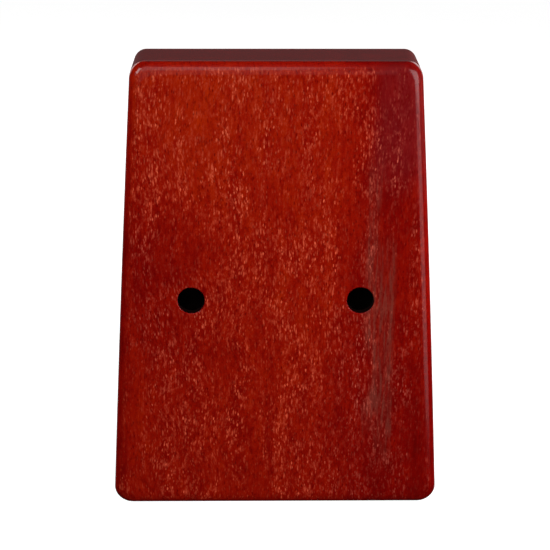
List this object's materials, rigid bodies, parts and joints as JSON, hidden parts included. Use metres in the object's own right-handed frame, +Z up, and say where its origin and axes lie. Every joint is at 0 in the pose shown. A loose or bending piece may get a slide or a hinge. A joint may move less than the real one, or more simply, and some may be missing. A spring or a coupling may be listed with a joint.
{
  "type": "mbira",
  "caption": "Hollow wooden thumb piano: a tapering round-edged sound box, two finger holes in its back, and sprung steel tines clamped over a bridge on the playing side.",
  "frame": {"origin": "on the surface that the tail end stands on, under the middle of the width and of the whole depth from the back's face to the screw heads", "axes": "+Z up from the tail end to the head end; +Y out of the playing side, where the tines are, so -Y is the back with the finger holes; +X to the player's left"},
  "size_m": [0.1332, 0.048, 0.185],
  "materials": {
    "red_lacquered_mahogany": "gloss",
    "bare_mahogany": "matte",
    "tine_steel": "satin",
    "bright_steel": "polished"
  },
  "bodies": {
    "sound_box": {"back_board": "red_lacquered_mahogany", "soundboard": "red_lacquered_mahogany", "tail_rib": "red_lacquered_mahogany", "head_rib": "red_lacquered_mahogany", "side_rib_left": "red_lacquered_mahogany", "side_rib_right": "red_lacquered_mahogany", "bridge_brace": "bare_mahogany", "bridge_base": "red_lacquered_mahogany", "front_rod": "bright_steel", "rear_rod": "bright_steel", "clamp_bar": "bright_steel", "clamp_screw_1": "bright_steel", "clamp_screw_2": "bright_steel", "clamp_screw_3": "bright_steel", "clamp_screw_4": "bright_steel"},
    "tine_c4": {"tine_c4": "tine_steel"},
    "tine_d4": {"tine_d4": "tine_steel"},
    "tine_e4": {"tine_e4": "tine_steel"},
    "tine_f4": {"tine_f4": "tine_steel"},
    "tine_g4": {"tine_g4": "tine_steel"},
    "tine_a4": {"tine_a4": "tine_steel"},
    "tine_b4": {"tine_b4": "tine_steel"},
    "tine_c5": {"tine_c5": "tine_steel"},
    "tine_d5": {"tine_d5": "tine_steel"},
    "tine_e5": {"tine_e5": "tine_steel"},
    "tine_f5": {"tine_f5": "tine_steel"},
    "tine_g5": {"tine_g5": "tine_steel"},
    "tine_a5": {"tine_a5": "tine_steel"},
    "tine_b5": {"tine_b5": "tine_steel"},
    "tine_c6": {"tine_c6": "tine_steel"},
    "tine_d6": {"tine_d6": "tine_steel"},
    "tine_e6": {"tine_e6": "tine_steel"}
  },
  "joints": [
    {"name": "tine_c4_flex", "type": "hinge", "parent": "sound_box", "child": "tine_c4", "pos_m": [0, 0.0143, 0.137], "axis": [-1, 0, 0], "range_deg": [-1.5, 2], "stiffness_Nm_per_rad": 0.6},
    {"name": "tine_d4_flex", "type": "hinge", "parent": "sound_box", "child": "tine_d4", "pos_m": [0.0059, 0.0143, 0.137], "axis": [-1, 0, 0], "range_deg": [-1.5, 2], "stiffness_Nm_per_rad": 0.5045},
    {"name": "tine_e4_flex", "type": "hinge", "parent": "sound_box", "child": "tine_e4", "pos_m": [-0.0059, 0.0143, 0.137], "axis": [-1, 0, 0], "range_deg": [-1.5, 2], "stiffness_Nm_per_rad": 0.4243},
    {"name": "tine_f4_flex", "type": "hinge", "parent": "sound_box", "child": "tine_f4", "pos_m": [0.0118, 0.0143, 0.137], "axis": [-1, 0, 0], "range_deg": [-1.5, 2], "stiffness_Nm_per_rad": 0.3891},
    {"name": "tine_g4_flex", "type": "hinge", "parent": "sound_box", "child": "tine_g4", "pos_m": [-0.0118, 0.0143, 0.137], "axis": [-1, 0, 0], "range_deg": [-1.5, 2], "stiffness_Nm_per_rad": 0.3272},
    {"name": "tine_a4_flex", "type": "hinge", "parent": "sound_box", "child": "tine_a4", "pos_m": [0.0192, 0.0143, 0.137], "axis": [-1, 0, 0], "range_deg": [-1.5, 2], "stiffness_Nm_per_rad": 0.2751},
    {"name": "tine_b4_flex", "type": "hinge", "parent": "sound_box", "child": "tine_b4", "pos_m": [-0.0192, 0.0143, 0.137], "axis": [-1, 0, 0], "range_deg": [-1.5, 2], "stiffness_Nm_per_rad": 0.2313},
    {"name": "tine_c5_flex", "type": "hinge", "parent": "sound_box", "child": "tine_c5", "pos_m": [0.0251, 0.0143, 0.137], "axis": [-1, 0, 0], "range_deg": [-1.5, 2], "stiffness_Nm_per_rad": 0.2121},
    {"name": "tine_d5_flex", "type": "hinge", "parent": "sound_box", "child": "tine_d5", "pos_m": [-0.0251, 0.0143, 0.137], "axis": [-1, 0, 0], "range_deg": [-1.5, 2], "stiffness_Nm_per_rad": 0.1784},
    {"name": "tine_e5_flex", "type": "hinge", "parent": "sound_box", "child": "tine_e5", "pos_m": [0.031, 0.0143, 0.137], "axis": [-1, 0, 0], "range_deg": [-1.5, 2], "stiffness_Nm_per_rad": 0.15},
    {"name": "tine_f5_flex", "type": "hinge", "parent": "sound_box", "child": "tine_f5", "pos_m": [-0.031, 0.0143, 0.137], "axis": [-1, 0, 0], "range_deg": [-1.5, 2], "stiffness_Nm_per_rad": 0.1376},
    {"name": "tine_g5_flex", "type": "hinge", "parent": "sound_box", "child": "tine_g5", "pos_m": [0.0369, 0.0143, 0.137], "axis": [-1, 0, 0], "range_deg": [-1.5, 2], "stiffness_Nm_per_rad": 0.1157},
    {"name": "tine_a5_flex", "type": "hinge", "parent": "sound_box", "child": "tine_a5", "pos_m": [-0.0369, 0.0143, 0.137], "axis": [-1, 0, 0], "range_deg": [-1.5, 2], "stiffness_Nm_per_rad": 0.0973},
    {"name": "tine_b5_flex", "type": "hinge", "parent": "sound_box", "child": "tine_b5", "pos_m": [0.0443, 0.0143, 0.137], "axis": [-1, 0, 0], "range_deg": [-1.5, 2], "stiffness_Nm_per_rad": 0.0818},
    {"name": "tine_c6_flex", "type": "hinge", "parent": "sound_box", "child": "tine_c6", "pos_m": [-0.0443, 0.0143, 0.137], "axis": [-1, 0, 0], "range_deg": [-1.5, 2], "stiffness_Nm_per_rad": 0.075},
    {"name": "tine_d6_flex", "type": "hinge", "parent": "sound_box", "child": "tine_d6", "pos_m": [0.0502, 0.0143, 0.137], "axis": [-1, 0, 0], "range_deg": [-1.5, 2], "stiffness_Nm_per_rad": 0.0631},
    {"name": "tine_e6_flex", "type": "hinge", "parent": "sound_box", "child": "tine_e6", "pos_m": [-0.0502, 0.0143, 0.137], "axis": [-1, 0, 0], "range_deg": [-1.5, 2], "stiffness_Nm_per_rad": 0.053}
  ]
}
